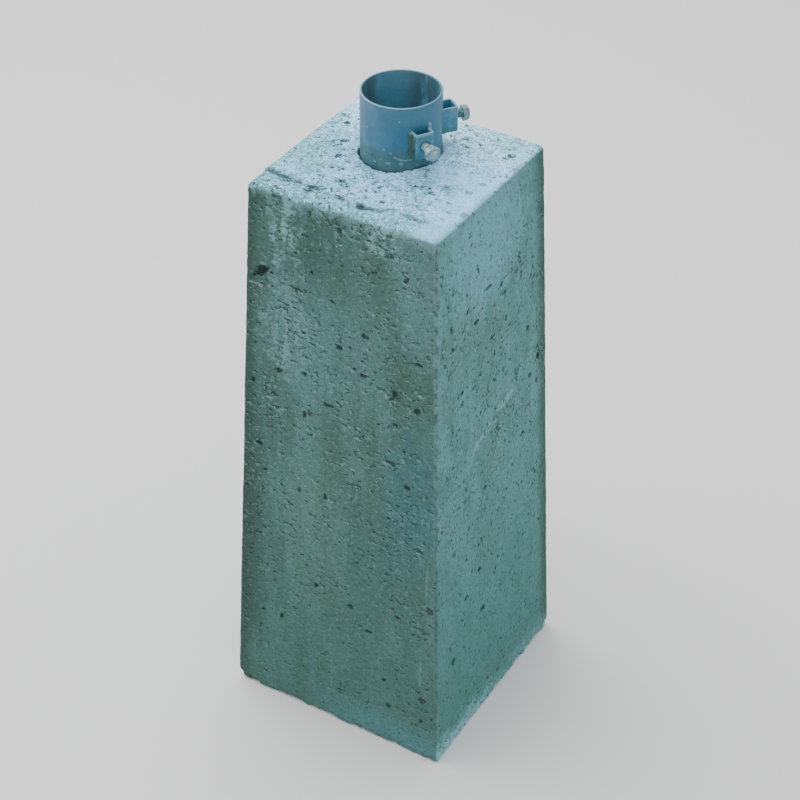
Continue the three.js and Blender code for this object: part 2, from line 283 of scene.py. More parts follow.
class ConcretePlace:
    """Where a point of the casting lies: on which face, how near an edge, in which hollow."""

    def __init__(self, metres):
        self.p = metres.scaled(METRE)
        self.x, self.y, self.z = self.p.axes()
        self.half = HALF_FOOT - (HALF_FOOT - HALF_TOP) / TOP_AT * self.z
        wide = abs(self.x).most(abs(self.y))
        inner = (self.half - wide).rise(2.0, 5.0) * self.z.rise(596.0, 606.0)
        self.top = self.z.rise(615.2, 618.4).most(inner)
        self.front = (-self.y - abs(self.x)).rise(-2.5, 2.5)
        self.ends = (abs(self.x) - abs(self.y)).rise(-2.5, 2.5)
        self.right = (self.x - abs(self.y)).rise(-2.5, 2.5)
        self.from_axis = from_sleeve(self.x, self.y)
        self.open_face = self.from_axis.rise(SOCKET_RADIUS + 0.2, SOCKET_RADIUS + 1.6)
        self.upright_edge = 1.0 - abs(abs(self.x) - abs(self.y)).rise(0.5, 5.0)
        self.top_edge = (1.0 - (self.half - wide).rise(1.0, 7.0)) * self.z.rise(600.0, 612.0)
        along = self.ends.node(
            "ShaderNodeMix",
            {"data_type": "VECTOR"},
            {0: self.ends, 4: (0.62, 1.0, 1.0), 5: (1.0, 1.0, 0.62)},
            1,
        )
        self.drawn_out = self.p.vector("MULTIPLY", along)
        self.broad = self.p.cloud(85.0, 3.0, 0.55)
        self.mottle = self.p.cloud(24.0, 4.0, 0.6)
        self.ragged = self.p.cloud(13.0, 3.0, 0.6) - 0.5
        self.frayed = self.p.cloud(4.0, 3.0, 0.65) - 0.5
        dense = self.right * (1.0 - self.top) * self.z.rise(545.0, 600.0)
        low = 1.0 - self.z.rise(20.0, 240.0)
        self.crowd = self.p.cloud(40.0, 2.0).rise(0.34, 0.64) * (1.0 - 0.65 * low) - 0.6 * dense

    def hollows(self, spread, length, share):
        """Ragged hollows that crowd together in places: 1 inside them and 0 outside."""
        return 1.0 - (spread.cloud(length, 2.5, 0.62) - 0.06 * self.crowd).rise(share - 0.05, share)

    def marks(self, across, up, places):
        """1 inside ragged hollows at known places, each given by its middle and its reaches."""
        inside = 0.0 * across
        for middle, height, reach, tall in places:
            aside, above = (across - middle) / reach, (up - height) / tall
            out = aside * aside + above * above + 3.0 * self.frayed
            inside = inside.most(1.0 - out.rise(0.35, 0.75))
        return inside

    def side_hollows(self, drop=0.0):
        """The air holes of the sides; drop reads them lower down, for the lip that catches the light."""
        lower = self.drawn_out.vector("ADD", (0.4 * drop, -0.4 * drop, drop))
        small = self.hollows(lower, 4.3, 0.368)
        middling = self.hollows(lower.vector("ADD", (40.0, 7.0, 23.0)), 9.0, 0.312)
        return small, middling

    def known_hollows(self):
        front = self.marks(self.x, self.z, FRONT_HOLLOWS) * self.front
        return front.most(self.marks(self.y, self.z, RIGHT_HOLLOWS) * self.right)

    def crust_line(self):
        """Across the top, how far a point lies behind the ragged edge of the upper skin."""
        wave = 10.0 * (self.p.cloud(21.0, 4.0, 0.68) - 0.5) + 7.0 * self.frayed
        line = -80.5 - 0.07 * self.x + 10.0 * self.x.rise(29.0, 40.0) + wave
        return self.y - line

    def top_hollows(self):
        fine = self.hollows(self.p, 4.2, 0.37)
        coarse = self.hollows(self.p.vector("ADD", (11.0, 52.0, 9.0)), 9.5, 0.335)
        known = self.marks(self.x, self.y, TOP_HOLLOWS)
        return fine, coarse.most(known)

    def top_lumps(self):
        """The rough trowelled skin."""
        return self.p.cloud(7.5, 4.0, 0.62)

    def smooth_corner(self):
        """Where the top was trowelled smooth: along the right edge and in a patch before the sleeve."""
        edge = self.x.rise(62.0, 84.0) * (1.0 - self.y.rise(-10.0, 70.0))
        aside, ahead = (self.x - 54.0) / 20.0, (self.y - 2.0) / 18.0
        return edge.most(1.0 - (aside * aside + ahead * ahead + 1.5 * self.ragged).rise(0.5, 1.0))

    def scratch(self, across, start, end, width):
        """1 along the straight line between two points of a side face."""
        share = ((across - start[0]) / (end[0] - start[0])).most(0.0).least(1.0)
        off = abs(self.z - (start[1] + (end[1] - start[1]) * share))
        inside = across.rise(start[0] - 1.0, start[0] + 1.0)
        inside = inside * (1.0 - across.rise(end[0] - 1.0, end[0] + 1.0))
        return inside * (1.0 - off.rise(0.3 * width, width))

    def upright_line(self, across, at, low, high):
        """1 along a thin upright line of a side face."""
        inside = self.z.rise(low - 2.0, low + 2.0) * (1.0 - self.z.rise(high - 2.0, high + 2.0))
        return inside * across.near(at, 1.6)

    def patch(self, across, middle, reach, fray=1.6):
        """1 inside a ragged oval of a face."""
        out_x = (across - middle[0]) / reach[0]
        out_z = (self.z - middle[1]) / reach[1]
        return 1.0 - (out_x * out_x + out_z * out_z + fray * self.ragged).rise(0.0, 1.1)

    def notch(self):
        """The wedge knocked out of the front face."""
        down = self.z - 528.0 - 0.75 * (self.x + 86.0)
        out = abs((self.x + 86.0) / 12.0) + abs(down / 6.5) + 1.7 * self.frayed
        return (1.0 - out.rise(0.6, 1.0)) * self.front


def from_sleeve(x, y):
    """Distance from the sleeve's axis."""
    aside, ahead = x - SLEEVE_X, y - SLEEVE_Y
    square = aside * aside + ahead * ahead
    return square.root()


def concrete_relief(place):
    """How far the surface stands out, in millimetres."""
    small, middling = place.side_hollows()
    sides = (
        0.9 * (place.p.cloud(70.0, 1.0) - 0.5)
        + 0.7 * (place.drawn_out.cloud(4.5, 2.0) - 0.5)
        - 0.6 * small
        - 1.3 * middling
        - 1.8 * place.known_hollows()
        - 3.2 * place.notch()
    )
    behind = place.crust_line()
    strip = (1.0 - behind.rise(-0.9, 0.9)) * (1.0 - place.x.rise(70.0, 84.0))
    away = place.from_axis.rise(40.0, 52.0)
    calm = 1.0 - 0.7 * place.smooth_corner()
    heap = (1.0 - place.from_axis.rise(41.0, 54.0)) * place.x.rise(-20.0, 10.0)
    fine, coarse = place.top_hollows()
    top = (
        1.6 * (place.p.cloud(26.0, 2.0) - 0.5)
        + 3.6 * (place.top_lumps() - 0.5) * calm
        - (0.6 * fine + 1.6 * coarse) * calm
        - 1.4 * strip * away
        + heap * (1.6 * place.p.cloud(6.0, 2.0).rise(0.5, 0.64) - 0.3)
    )
    worn = place.p.cloud(9.0, 3.0, 0.6)
    edges = (worn - 0.55) * (0.6 * place.upright_edge + 1.5 * place.top_edge)
    chipped = place.p.cloud(15.0, 3.0, 0.6).rise(0.52, 0.6)
    foot = (4.8 * (worn - 0.6) - 2.6 * chipped) * (1.0 - place.z.rise(1.0, 10.0))
    scratch = place.scratch(place.x, *FRONT_SCRAPE, 1.4) * place.front
    face = sides + place.top * (top - sides)
    return (face + edges + foot * (1.0 - place.top) - 0.8 * scratch) * place.open_face


def front_colour(place, fleck):
    """The side with the knocked-out wedge: grey-green, bluer to the right, limy under the top edge."""
    x, z = place.x, place.z
    runs = place.p.vector("MULTIPLY", (1.0, 1.0, 0.2)).cloud(24.0, 4.0, 0.58)
    face = runs.rise(0.36, 0.64).tint(shade(78, 110, 102), shade(90, 126, 124))
    face = (place.broad.rise(0.44, 0.68) * 0.4).tint(face, shade(78, 106, 92))
    face = (place.patch(x, (-30.0, 470.0), (62.0, 90.0)) * 0.3).tint(face, shade(100, 140, 146))
    face = (place.patch(x, (80.0, 458.0), (34.0, 44.0)) * 0.5).tint(face, shade(70, 100, 86))
    face = (place.patch(x, (30.0, 545.0), (50.0, 56.0)) * 0.4).tint(face, shade(76, 106, 92))
    face = (place.patch(x, (84.0, 320.0), (44.0, 100.0)) * 0.6).tint(face, shade(68, 114, 122))
    face = (place.patch(x, (-32.0, 245.0), (44.0, 120.0)) * 0.4).tint(face, shade(98, 130, 122))
    face = ((1.0 - z.rise(30.0, 360.0)) * 0.5).tint(face, shade(68, 106, 99))
    face = (place.patch(x, (-35.0, 575.0), (56.0, 50.0)) * 0.45).tint(face, shade(62, 90, 82))
    face = (place.patch(x, (50.0, 225.0), (56.0, 80.0)) * 0.4).tint(face, shade(60, 98, 94))
    haze = place.patch(x, (86.0, 590.0), (46.0, 130.0)) * (0.25 + 0.9 * place.mottle)
    face = (haze * 0.55).tint(face, shade(108, 146, 152))
    from_left = x + place.half
    face = ((1.0 - from_left.rise(3.0, 22.0)) * 0.8).tint(face, shade(56, 80, 69))
    shaded = (1.0 - from_left.rise(16.0, 46.0)) * (1.0 - z.rise(300.0, 460.0))
    face = (shaded * z.rise(40.0, 110.0) * 0.7).tint(face, shade(58, 83, 73))
    lime = place.patch(x, (-60.0, 580.0), (22.0, 44.0), 3.0)
    lime = lime.most(place.patch(x, (44.0, 606.0), (25.0, 22.0), 3.0))
    lime = lime.most(0.55 * place.patch(x, (-58.0, 470.0), (36.0, 60.0), 2.4)) * place.front
    run_down = place.p.vector("MULTIPLY", (1.0, 1.0, 0.3)).cloud(9.0, 3.0, 0.62)
    drip = (z + 46.0 * (run_down - 0.5)).rise(603.0, 617.0)
    # A dark band under the top edge: painted shade beneath the arris.
    painted_shade_under_edge = (z + 30.0 * (run_down - 0.5)).near(603.0, 9.0) * place.mottle.rise(0.44, 0.6)
    face = (painted_shade_under_edge * 0.6).tint(face, shade(54, 80, 70))
    face = (drip * 0.45).tint(face, shade(138, 170, 174))
    flaked = (0.5 * fleck + 0.5 * run_down).rise(0.47, 0.57)
    face = (lime * (0.1 + 0.7 * flaked)).tint(face, shade(142, 178, 186))
    foot = (1.0 - z.rise(14.0, 56.0)) * (x + 40.0).rise(0.0, 70.0)
    face = (foot * 0.5).tint(face, shade(94, 142, 148))
    lines = place.upright_line(x, 104.0, 216.0, 256.0)
    lines = lines.most(place.upright_line(x, 101.0, 98.0, 140.0))
    lines = lines.most(place.scratch(x, *FOOT_SCRAPE, 2.4))
    lines = lines * place.front * place.mottle.rise(0.36, 0.56)
    face = (lines * 0.5).tint(face, shade(118, 158, 164))
    pale = place.scratch(x, *FRONT_SCRAPE, 1.6)
    face = (pale * 0.55 * place.front).tint(face, shade(150, 174, 166))
    flake = place.marks(x, z, LIME_FLAKE)
    face = (flake * 0.4 * place.front).tint(face, shade(140, 168, 168))
    rust = place.marks(x, z, RUST_SPOTS)
    face = (rust * 0.8 * place.front).tint(face, shade(50, 56, 44))
    # The knocked-out wedge is painted dark: painted shade in its recess.
    return (place.notch() * 0.8).tint(face, shade(42, 62, 56))


def right_colour(place, fleck):
    """The right side: painted paler than the front side and paler at the top, and painted darker towards
    the foot, as light and shade; bluer at the top, darker down the far edge, limy along the foot.
    """
    y, z = place.y, place.z
    runs = place.p.vector("MULTIPLY", (1.0, 1.0, 0.4)).cloud(18.0, 4.0, 0.6)
    # Paler than the front side's colours: painted light, as more light fell on this side.
    face = runs.rise(0.36, 0.64).tint(shade(88, 131, 130), shade(103, 147, 150))
    face = (place.broad.rise(0.46, 0.68) * 0.5).tint(face, shade(92, 130, 119))
    # Paler at the top and darker towards the foot: painted light and painted shade, as the light fell
    # from above.
    face = (place.patch(y, (-10.0, 580.0), (90.0, 90.0)) * 0.75).tint(face, shade(120, 170, 183))
    face = (place.patch(y, (30.0, 250.0), (60.0, 90.0)) * 0.4).tint(face, shade(104, 150, 156))
    low = 1.0 - z.rise(40.0, 420.0)
    face = (low * 0.7).tint(face, shade(72, 117, 112))
    face = ((y - place.half + 30.0).rise(4.0, 26.0) * 0.85).tint(face, shade(54, 86, 72))
    crust = 1.0 - (z - 44.0 * place.ragged).rise(0.0, 36.0)
    crust = crust * (1.0 - 0.65 * y.rise(-80.0, 30.0))
    face = (crust * (0.5 + 0.5 * fleck.rise(0.4, 0.58))).tint(face, shade(148, 202, 212))
    scratch = place.scratch(y, *RIGHT_SCRAPE, 1.6) * place.p.cloud(9.0, 2.0).rise(0.4, 0.55)
    face = (scratch * 0.5 * place.right).tint(face, shade(160, 194, 196))
    flecked = place.scratch(y, *RIGHT_SCRAPE, 9.0) * fleck.rise(0.48, 0.6)
    return (flecked * 0.5 * place.right).tint(face, shade(150, 190, 198))


def top_colour(place, fleck):
    """The trowelled top: pale blue-grey, greener to the left and behind, broken along its front edge."""
    x, y = place.x, place.y
    corner = place.smooth_corner()
    # The skin's paleness is partly the lime skin's own colour and partly painted light from above.
    skin = place.mottle.rise(0.38, 0.62).tint(shade(132, 174, 178), shade(182, 200, 216))
    left_edge = x + place.half
    green = (1.0 - left_edge.rise(16.0, 70.0)) * (1.0 - y.rise(-20.0, 40.0))
    green = green.most((1.0 - left_edge.rise(3.0, 16.0)) * (1.0 - y.rise(40.0, 70.0)))
    green = green.most((y + 0.5 * x).rise(84.0, 124.0))
    skin = (green * 0.75 * place.broad.rise(0.3, 0.5)).tint(skin, shade(136, 172, 158))
    behind = place.crust_line()
    strip = 1.0 - behind.rise(-1.5, 1.0)
    skin = (strip * 0.8).tint(skin, shade(126, 164, 158))
    skin = (y.rise(0.0, 80.0) * (0.75 - 0.45 * green)).tint(skin, shade(238, 246, 242))
    skin = (fleck.rise(0.5, 0.64) * (0.6 - 0.4 * corner)).tint(skin, shade(216, 232, 240))
    skin = ((1.0 - fleck.rise(0.33, 0.47)) * (0.6 - 0.45 * corner)).tint(skin, shade(96, 112, 114))
    # Darker in the low parts of the skin: painted shade.
    sunk = 1.0 - place.top_lumps().rise(0.34, 0.5)
    skin = (sunk * (0.7 - 0.55 * corner)).tint(skin, shade(102, 124, 126))
    skin = (corner * 0.55).tint(skin, shade(180, 208, 218))
    # Paler on the mortar heaped round the sleeve's right side: partly the mortar's own paler colour,
    # partly painted light against the sleeve's shade.
    heap = (1.0 - place.from_axis.rise(42.0, 56.0)) * x.rise(-10.0, 14.0)
    skin = (heap * 0.5).tint(skin, shade(206, 224, 232))
    # Dark in the skin's pits: painted shade.
    fine, coarse = place.top_hollows()
    rough = 0.85 - 0.6 * corner - 0.3 * x.rise(-20.0, 60.0)
    skin = (fine * rough.most(0.2)).tint(skin, shade(52, 58, 54))
    skin = (coarse * (0.9 - 0.4 * corner)).tint(skin, shade(54, 62, 58))
    # A dark ragged line along the upper skin's edge: painted shadow of its step.
    broken = place.p.cloud(15.0, 3.0, 0.6).rise(0.36, 0.5) * (1.0 - 0.4 * x.rise(20.0, 30.0))
    line = behind.near(-0.6, 4.0) * broken * (1.0 - x.rise(72.0, 82.0))
    skin = (line * 0.9).tint(skin, shade(62, 72, 68))
    # A dark ring round the sleeve's foot: painted shade in the gap between sleeve and concrete.
    lump = place.p.cloud(8.0, 3.0, 0.6)
    painted_contact_shade = 1.0 - (place.from_axis - SOCKET_RADIUS - 9.0 * (lump - 0.42)).rise(0.2, 1.8)
    painted_contact_shade = painted_contact_shade * (1.0 - 0.7 * x.rise(0.0, 24.0))
    return (painted_contact_shade * 0.9).tint(skin, shade(40, 50, 48))


def concrete_colour(place):
    """Base colour, roughness and grain height of the concrete."""
    fleck = place.drawn_out.cloud(3.1, 3.0, 0.68)
    fine = place.p.cloud(3.1, 3.0, 0.68)
    grain = place.p.cloud(1.5, 2.0, 0.6)
    front = front_colour(place, fleck).vector("MULTIPLY", FRONT_CAST)
    right = right_colour(place, fleck).vector("MULTIPLY", RIGHT_CAST_AND_PAINTED_LIGHT)
    side = place.ends.tint(front, right)
    light = fleck.rise(0.54, 0.7) * (0.18 + 0.12 * place.z.rise(60.0, 330.0))
    side = light.tint(side, shade(138, 174, 178))
    side = ((1.0 - fleck.rise(0.32, 0.46)) * 0.45).tint(side, shade(48, 74, 68))
    small, middling = place.side_hollows()
    small_lip, middling_lip = place.side_hollows(LIP_DROP)
    # Paler on the lower lip of each air hole: painted highlight, as the lip faces the sky.
    lip = (0.7 * small_lip).most(middling_lip) * (0.18 + 0.24 * place.z.rise(140.0, 400.0))
    side = lip.tint(side, shade(146, 182, 184))
    # Dark inside the air holes: painted shade.
    holes = (0.85 * small).most(middling).most(place.known_hollows())
    side = (holes * 0.8).tint(side, shade(33, 54, 48))
    skin = top_colour(place, fine).vector("MULTIPLY", TOP_CAST)
    trim = place.x.rise(30.0, 80.0)
    frayed = (14.0 * place.frayed + 12.0 * place.ragged) * (1.0 - 0.7 * trim) - 2.5 * trim
    over_edge = (place.z + frayed).rise(613.0, 617.5).most(place.top)
    body = over_edge.tint(side, skin)
    # Paler along the front upright edge: partly worn concrete, partly painted highlight on the rounded
    # edge.
    worn = place.upright_edge * (place.x - place.y).rise(120.0, 140.0)
    worn = worn * place.p.cloud(11.0, 4.0, 0.7).rise(0.4, 0.56) * (1.0 - place.top)
    worn = worn * (0.25 + 0.75 * place.z.rise(220.0, 460.0))
    body = (worn * 0.6).tint(body, shade(150, 186, 192))
    calm = 1.0 - 0.6 * place.smooth_corner() * place.top
    speckle = 0.5 + grain + 1.2 * place.top * (grain - 0.5) * calm
    height = (0.6 * fleck + 0.4 * grain) * calm - 0.5 * (1.0 - place.top) * middling
    return speckle.lighten(body), 0.82 + 0.14 * place.mottle, height


def finish(name, build):
    """A material; build() takes the Object coordinates and returns its shader's inputs."""
    material = bpy.data.materials.new(name)
    material.use_nodes = True
    tree = material.node_tree
    tree.nodes.clear()
    start = Value(tree)
    place = start.node("ShaderNodeTexCoord", {}, {}, "Object")
    shader = start.node("ShaderNodeBsdfPrincipled", {}, build(place))
    start.node("ShaderNodeOutputMaterial", {}, {"Surface": shader})
    return material


def bumped(height, distance, strength=1.0):
    """The normal of a surface whose fine grain stands height times distance out."""
    inputs = {"Strength": strength, "Distance": distance * MM, "Height": height}
    return height.node("ShaderNodeBump", {}, inputs, "Normal")


def concrete_inputs(metres):
    """Weathered concrete, with its fine grain as bump."""
    colour, dullness, grain = concrete_colour(ConcretePlace(metres))
    return {
        "Base Color": colour,
        "Roughness": dullness,
        "Specular IOR Level": 0.25,
        "Normal": bumped(grain, 2.0, 0.8),
    }


def sleeve_inputs(metres):
    """Blue paint, greyer to the left as painted reflection and darker to the right as painted shade,
    hazed with cement near the concrete.
    """
    p = metres.scaled(METRE)
    x, y, z = p.axes()
    broad = p.cloud(30.0, 3.0, 0.6)
    fine = p.cloud(3.2, 3.0, 0.6)
    runs = p.vector("MULTIPLY", (1.0, 1.0, 0.35)).cloud(14.0, 3.0, 0.6)
    from_axis = from_sleeve(x, y)
    outside = from_axis.rise(SLEEVE_RADIUS - 1.6, SLEEVE_RADIUS - 1.0)
    paint = broad.rise(0.35, 0.7).tint(shade(66, 116, 144), shade(82, 130, 153))
    # Darker to the right: painted shade on the side turned from the light.
    painted_shade_right = (x - y).rise(0.0, 34.0).most(x.rise(10.0, 30.0)) * outside
    paint = (painted_shade_right * 0.5).tint(paint, shade(26, 106, 136))
    welded = x.rise(3.5, 5.5) * (1.0 - z.rise(664.0, 668.0)) * (-y).rise(0.0, 6.0) * outside
    paint = (welded * 0.3).tint(paint, shade(50, 104, 136))
    # Paler, greyer patches to the left: painted reflection of the sky.
    pale = (-x).rise(22.0, 46.0) * runs.rise(0.36, 0.6) * outside
    paint = (pale * 0.6).tint(paint, shade(152, 164, 174))
    # The inner wall is painted as lit and shaded copies of the blue paint: paler where light falls in,
    # painted shade on its right.
    inner_wall = (1.0 - outside) * (1.0 - z.rise(684.0, 684.6))
    stain_and_shade = runs.rise(0.3, 0.46) * (x - y).rise(-80.0, -64.0)
    stain_and_shade = stain_and_shade * (1.0 - 0.7 * (x - y).rise(-40.0, -20.0))
    paint = (inner_wall * 0.65).tint(paint, stain_and_shade.tint(shade(98, 157, 180), shade(66, 92, 95)))
    haze = (1.0 - (z + 26.0 * (broad - 0.5) + 8.0 * (fine - 0.5)).rise(636.0, 646.0)) * outside
    dust = runs.rise(0.4, 0.6).tint(shade(66, 108, 105), shade(85, 114, 113))
    paint = (haze * 0.75).tint(paint, dust)
    spots = p.bubbles(6.5, 1.0).rise(0.05, 0.6) * haze
    paint = (spots * 0.4).tint(paint, shade(132, 164, 168))
    # A pale line along the rim, strongest at the front: painted highlight.
    rim = z.rise(684.3, 684.8) * from_axis.rise(SLEEVE_RADIUS - 1.2, SLEEVE_RADIUS - 0.4)
    paint = (rim * (0.7 - 0.5 * (x + y).rise(-10.0, 40.0))).tint(paint, shade(156, 188, 202))
    return {
        "Base Color": (0.88 + 0.36 * fine).lighten(paint),
        "Roughness": 0.4 + 0.18 * fine + 0.3 * haze,
        "Specular IOR Level": 0.4,
        "Normal": bumped(fine + 1.5 * spots, 0.25, 0.6),
    }


def bracket_inputs(metres):
    """Blue paint, olive and streaked on the front bracket's left leg, and darker round its bolt as
    painted shade.
    """
    p = metres.scaled(METRE)
    x, y, z = p.axes()
    front = FIXINGS["front"]
    facing = math.radians(front["facing"])
    aside = (y - SLEEVE_Y) * math.cos(facing) - (x - SLEEVE_X) * math.sin(facing)
    broad = p.cloud(9.0, 3.0, 0.6)
    fine = p.cloud(1.8, 3.0, 0.6)
    paint = broad.rise(0.35, 0.7).tint(shade(68, 130, 155), shade(90, 150, 175))
    left_leg = 1.0 - aside.rise(-9.6, -8.6)
    paint = (left_leg * (0.6 + 0.5 * broad)).tint(paint, shade(66, 92, 70))
    streak = left_leg * p.vector("MULTIPLY", (1.0, 1.0, 0.3)).cloud(4.0, 2.0).rise(0.5, 0.6)
    paint = (streak * 0.75).tint(paint, shade(26, 42, 40))
    dirt = (1.0 - (z + 14.0 * (broad - 0.5)).rise(636.0, 646.0)) * 0.6
    paint = dirt.tint(paint, shade(78, 108, 98))
    up = z - front["height"]
    from_bolt = aside * aside + up * up
    # Darker round the bolt: painted shade in and about the bolt hole.
    painted_hole_shade = 1.0 - from_bolt.root().rise(4.4, 6.6)
    paint = (painted_hole_shade * 0.6).tint(paint, shade(40, 60, 66))
    # Paler along the top edges: painted highlight.
    upper_edge = z.rise(659.8, 660.4)
    paint = (upper_edge * 0.45).tint(paint, shade(150, 186, 200))
    chips = fine.rise(0.64, 0.72) * 0.5
    paint = chips.tint(paint, shade(150, 172, 174))
    return {
        "Base Color": (0.84 + 0.32 * fine).lighten(paint),
        "Roughness": 0.42 + 0.25 * broad,
        "Specular IOR Level": 0.5,
        "Normal": bumped(fine, 0.2, 0.6),
    }


def zinc_inputs(metres):
    """Dull zinc plating, darker on the right bolt."""
    p = metres.scaled(METRE)
    broad = p.cloud(4.5, 3.0, 0.6)
    fine = p.cloud(0.9, 3.0, 0.6)
    zinc = broad.rise(0.35, 0.68).tint(shade(126, 162, 176), shade(200, 228, 238))
    stain_and_shade = p.cloud(2.6, 2.0).rise(0.54, 0.68) * 0.5
    zinc = stain_and_shade.tint(zinc, shade(84, 106, 104))
    x, y, _ = p.axes()
    # Darker on the right bolt.
    darker_right_bolt = y.rise(26.0, 40.0)
    zinc = (darker_right_bolt * (0.3 + 0.5 * broad)).tint(zinc, shade(92, 118, 118))
    end_face = 0.0 * x
    for fixing in FIXINGS.values():
        facing = math.radians(fixing["facing"])
        out = (x - SLEEVE_X) * math.cos(facing) + (y - SLEEVE_Y) * math.sin(facing)
        end_face = end_face.most(out.rise(fixing["bolt_end"] - 0.45, fixing["bolt_end"] - 0.15))
    zinc = (end_face * (0.3 + 0.8 * fine)).tint(zinc, shade(112, 146, 160))
    return {
        "Base Color": (0.85 + 0.3 * fine).lighten(zinc),
        "Metallic": 0.6 - 0.5 * stain_and_shade,
        "Roughness": 0.3 + 0.22 * broad,
        "Normal": bumped(fine, 0.08, 0.5),
    }


def cement_inputs(metres):
    """Pale dried cement."""
    p = metres.scaled(METRE)
    fine = p.cloud(0.8, 3.0, 0.6)
    return {
        "Base Color": fine.rise(0.3, 0.7).tint(shade(94, 130, 134), shade(130, 162, 168)),
        "Roughness": 0.9,
        "Normal": bumped(fine, 0.2, 0.6),
    }


def floor_inputs(metres):
    """A pale, nearly even floor."""
    soft = metres.cloud(0.9, 2.0)
    return {"Base Color": (0.98 + 0.04 * soft).lighten((0.9, 0.9, 0.9)), "Roughness": 0.9}


# Small helpers for work at the bench

def take(piece):
    """Makes piece the one that the next operators act on."""
    bpy.ops.object.select_all(action="DESELECT")
    piece.select_set(True)
    bpy.context.view_layer.objects.active = piece
    return piece


def added(name):
    piece = bpy.context.object
    piece.name = piece.data.name = name
    return piece


def work(piece, kind, **settings):
    """Puts a modifier on piece, sets it and applies it."""
    take(piece)
    step = piece.modifiers.new(kind.lower(), kind)
    for name, setting in settings.items():
        setattr(step, name, setting)
    bpy.ops.object.modifier_apply(modifier=step.name)
    return piece


def ease(piece, width, segments, angle):
    """Rounds the edges that turn by more than angle."""
    limit = math.radians(angle)
    work(piece, "BEVEL", width=width * MM, segments=segments, limit_method="ANGLE", angle_limit=limit)


def pick(piece, mode, wanted):
    """In edit mode, selects the faces or edges that wanted() says, by middle and normal or by ends."""
    take(piece)
    bpy.ops.object.mode_set(mode="EDIT")
    bpy.ops.mesh.select_mode(type=mode)
    bpy.ops.mesh.select_all(action="DESELECT")
    bpy.ops.object.mode_set(mode="OBJECT")
    mesh = piece.data
    if mode == "FACE":
        for face in mesh.polygons:
            face.select = wanted(face.center, face.normal)
    else:
        for edge in mesh.edges:
            a, b = (mesh.vertices[i].co for i in edge.vertices)
            edge.select = wanted(a, b)
    bpy.ops.object.mode_set(mode="EDIT")


def done():
    bpy.ops.object.mode_set(mode="OBJECT")


def settle(piece, facing=0.0, turn=0.0, along=0.0, height=0.0):
    """Moves a piece made about the sleeve's axis to its place and leaves its object at the origin."""
    take(piece)
    piece.matrix_world = (
        Matrix.Translation(Vector((SLEEVE_X, SLEEVE_Y, height)) * MM)
        @ Matrix.Rotation(math.radians(facing), 4, "Z")
        @ Matrix.Translation(Vector((along * MM, 0.0, 0.0)))
        @ Matrix.Rotation(math.radians(turn), 4, "X")
    )
    bpy.ops.object.transform_apply(location=True, rotation=True, scale=True)
    return piece


def cut(piece, tool, operation="DIFFERENCE"):
    work(piece, "BOOLEAN", operation=operation, solver="EXACT", object=tool)
    bpy.data.objects.remove(tool)
    return piece


def bar(radius, start, end, sides=48):
    """A round bar along X, as a drill or a turned blank."""
    bpy.ops.mesh.primitive_cylinder_add(
        vertices=sides,
        radius=radius * MM,
        depth=(end - start) * MM,
        location=(0.5 * (start + end) * MM, 0.0, 0.0),
        rotation=ALONG_X,
    )
    bpy.ops.object.transform_apply(location=True, rotation=True, scale=True)
    return bpy.context.object


def joined(pieces):
    """Joins pieces into the first of them."""
    take(pieces[0])
    for piece in pieces[1:]:
        piece.select_set(True)
    bpy.ops.object.join()
    return pieces[0]


def smooth(piece, angle=30.0):
    take(piece)
    bpy.ops.object.shade_smooth_by_angle(angle=math.radians(angle))
    return piece


def relief(piece, name, rise):
    """Pushes the skin of piece out along its normals by rise(place), in millimetres."""
    tree = bpy.data.node_groups.new(name, "GeometryNodeTree")
    tree.interface.new_socket("Geometry", in_out="INPUT", socket_type="NodeSocketGeometry")
    tree.interface.new_socket("Geometry", in_out="OUTPUT", socket_type="NodeSocketGeometry")
    start = Value(tree)
    skin = start.node("NodeGroupInput", {}, {}, "Geometry")
    metres = start.node("GeometryNodeInputPosition")
    normal = start.node("GeometryNodeInputNormal")
    push = normal.scaled(rise(metres) * MM)
    moved = start.node("GeometryNodeSetPosition", {}, {"Geometry": skin, "Offset": push})
    start.node("NodeGroupOutput", {}, {"Geometry": moved})
    work(piece, "NODES", node_group=tree)
    bpy.data.node_groups.remove(tree)
    return piece


def finished(piece, body, nodes, material):
    piece.data.materials.clear()
    piece.data.materials.append(material)
    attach(piece, body)
    if nodes:
        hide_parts(*nodes)
    return piece


# The pieces

def concrete_casting():
    """The block: the solid's own form on a fine mesh, with holes, trowel marks and worn edges in it."""
    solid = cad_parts["concrete_block"]
    casting = bpy.data.objects.new("concrete_casting", solid.data.copy())
    bpy.context.scene.collection.objects.link(casting)
    take(casting)
    bpy.ops.object.mode_set(mode="EDIT")
    bpy.ops.mesh.select_all(action="SELECT")
    bpy.ops.mesh.remove_doubles(threshold=MERGE_WITHIN)
    done()
    work(casting, "REMESH", mode="VOXEL", voxel_size=CASTING_GRID * MM, use_smooth_shade=True)
    work(casting, "SMOOTH", factor=0.5, iterations=3)
    relief(casting, "concrete relief", lambda metres: concrete_relief(ConcretePlace(metres)))
    triangles = 2 * len(casting.data.polygons)
    work(casting, "DECIMATE", ratio=min(1.0, CASTING_TRIANGLES / triangles))
    return smooth(casting, 70.0)


